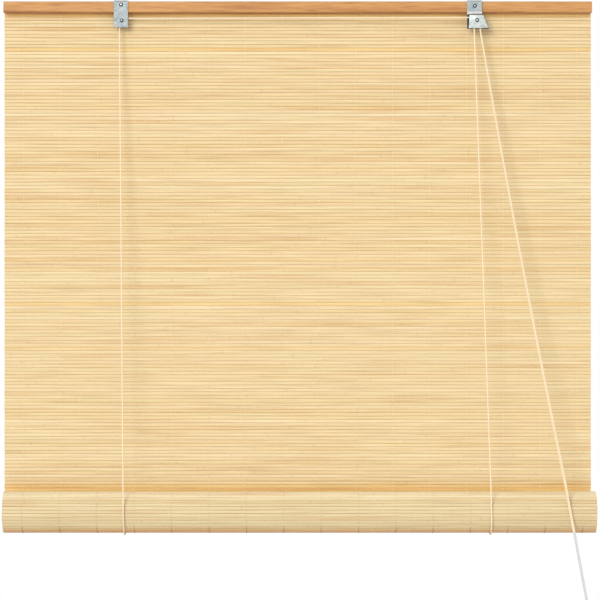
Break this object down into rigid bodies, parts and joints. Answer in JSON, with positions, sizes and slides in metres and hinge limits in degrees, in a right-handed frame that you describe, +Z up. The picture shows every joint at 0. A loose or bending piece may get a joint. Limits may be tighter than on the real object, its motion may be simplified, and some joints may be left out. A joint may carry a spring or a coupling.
{
  "type": "bamboo roll up blind",
  "caption": "Roll up blind of split bamboo slats under a wooden headrail, raised by two cords that pass under the roll, over pulleys and through a cord lock.",
  "frame": {"origin": "on the wall plane, midway between the entry holes of the two keyholes in the brackets", "axes": "+X along the headrail to the right as seen from the room, +Y into the wall, +Z up; the room is at -Y"},
  "size_m": [0.8026, 0.0881, 0.8452],
  "materials": {
    "rail_wood": "satin",
    "bamboo": "satin",
    "cotton": "matte",
    "galvanised_steel": "satin",
    "pulley_brass": "satin",
    "knob_wood": "satin"
  },
  "bodies": {
    "headrail": {"front_batten": "rail_wood", "rear_batten": "rail_wood", "batten_nails": "galvanised_steel", "mat_head_slats": "bamboo", "hanging_slats": "bamboo", "hanging_warp_threads": "cotton", "left_bracket": "galvanised_steel", "left_bracket_screw": "galvanised_steel", "left_pulley_rivet": "galvanised_steel", "right_bracket": "galvanised_steel", "right_bracket_screw": "galvanised_steel", "lock_housing": "galvanised_steel", "lock_pulley_rivet": "galvanised_steel", "cord_anchor_eyes": "galvanised_steel", "anchor_knots": "cotton", "left_cord_rear_leg": "cotton", "left_cord_front_leg": "cotton", "left_cord_top_run": "cotton", "right_cord_rear_leg": "cotton", "right_cord_front_leg": "cotton", "right_cord_top_wrap": "cotton", "left_pull_strand_upper": "cotton", "right_pull_strand_upper": "cotton"},
    "roll_carrier": {"left_cord_bight": "cotton", "right_cord_bight": "cotton", "left_pull_strand_lower": "cotton", "right_pull_strand_lower": "cotton"},
    "roll": {"rolled_mat": "bamboo", "bottom_rail": "rail_wood"},
    "left_pulley_wheel": {"left_pulley": "pulley_brass"},
    "rear_lock_wheel": {"rear_lock_pulley": "pulley_brass"},
    "front_lock_wheel": {"front_lock_pulley": "pulley_brass"},
    "lock_slider": {"lock_pin": "galvanised_steel"},
    "lock_drum": {"lock_roller": "pulley_brass"},
    "knob_end": {"pull_knob": "knob_wood", "pull_knot": "cotton"}
  },
  "joints": [
    {"name": "roll_lift", "type": "slide", "parent": "headrail", "child": "roll_carrier", "axis": [0, 0, 1], "range_m": [0, 0.594], "deforming": ["hanging_slats", "hanging_warp_threads", "left_cord_front_leg", "right_cord_front_leg", "left_cord_rear_leg", "right_cord_rear_leg", "left_pull_strand_upper", "right_pull_strand_upper"]},
    {"name": "roll_turn", "type": "hinge", "parent": "roll_carrier", "child": "roll", "pos_m": [0, -0.039, -0.6826], "axis": [1, 0, 0], "range_deg": [-1080, 0]},
    {"name": "left_pulley_turn", "type": "hinge", "parent": "headrail", "child": "left_pulley_wheel", "pos_m": [-0.2391, -0.0211, -0.0166], "axis": [0, 1, 0], "continuous": true},
    {"name": "rear_lock_pulley_turn", "type": "hinge", "parent": "headrail", "child": "rear_lock_wheel", "pos_m": [0.2433, -0.0265, -0.0172], "axis": [0, 1, 0], "continuous": true},
    {"name": "front_lock_pulley_turn", "type": "hinge", "parent": "headrail", "child": "front_lock_wheel", "pos_m": [0.2433, -0.0304, -0.0172], "axis": [0, 1, 0], "continuous": true},
    {"name": "lock_release", "type": "slide", "parent": "headrail", "child": "lock_slider", "axis": [0.3604, 0, -0.9328], "range_m": [0, 0.005]},
    {"name": "lock_roller_turn", "type": "hinge", "parent": "lock_slider", "child": "lock_drum", "pos_m": [0.2514, -0.0284, -0.0178], "axis": [0, 1, 0], "continuous": true},
    {"name": "cord_pull", "type": "slide", "parent": "roll_carrier", "child": "knob_end", "axis": [0.1747, -0.0622, -0.9827], "range_m": [0, 1.782], "deforming": ["left_pull_strand_lower", "right_pull_strand_lower"]}
  ],
  "couplings": [
    {"joint": "roll_turn", "follows": "roll_lift", "rad_per_m": -31.733},
    {"joint": "left_pulley_turn", "follows": "roll_lift", "rad_per_m": 625},
    {"joint": "rear_lock_pulley_turn", "follows": "roll_lift", "rad_per_m": 454.55},
    {"joint": "front_lock_pulley_turn", "follows": "roll_lift", "rad_per_m": 454.55},
    {"joint": "cord_pull", "follows": "roll_lift", "ratio": 3}
  ]
}
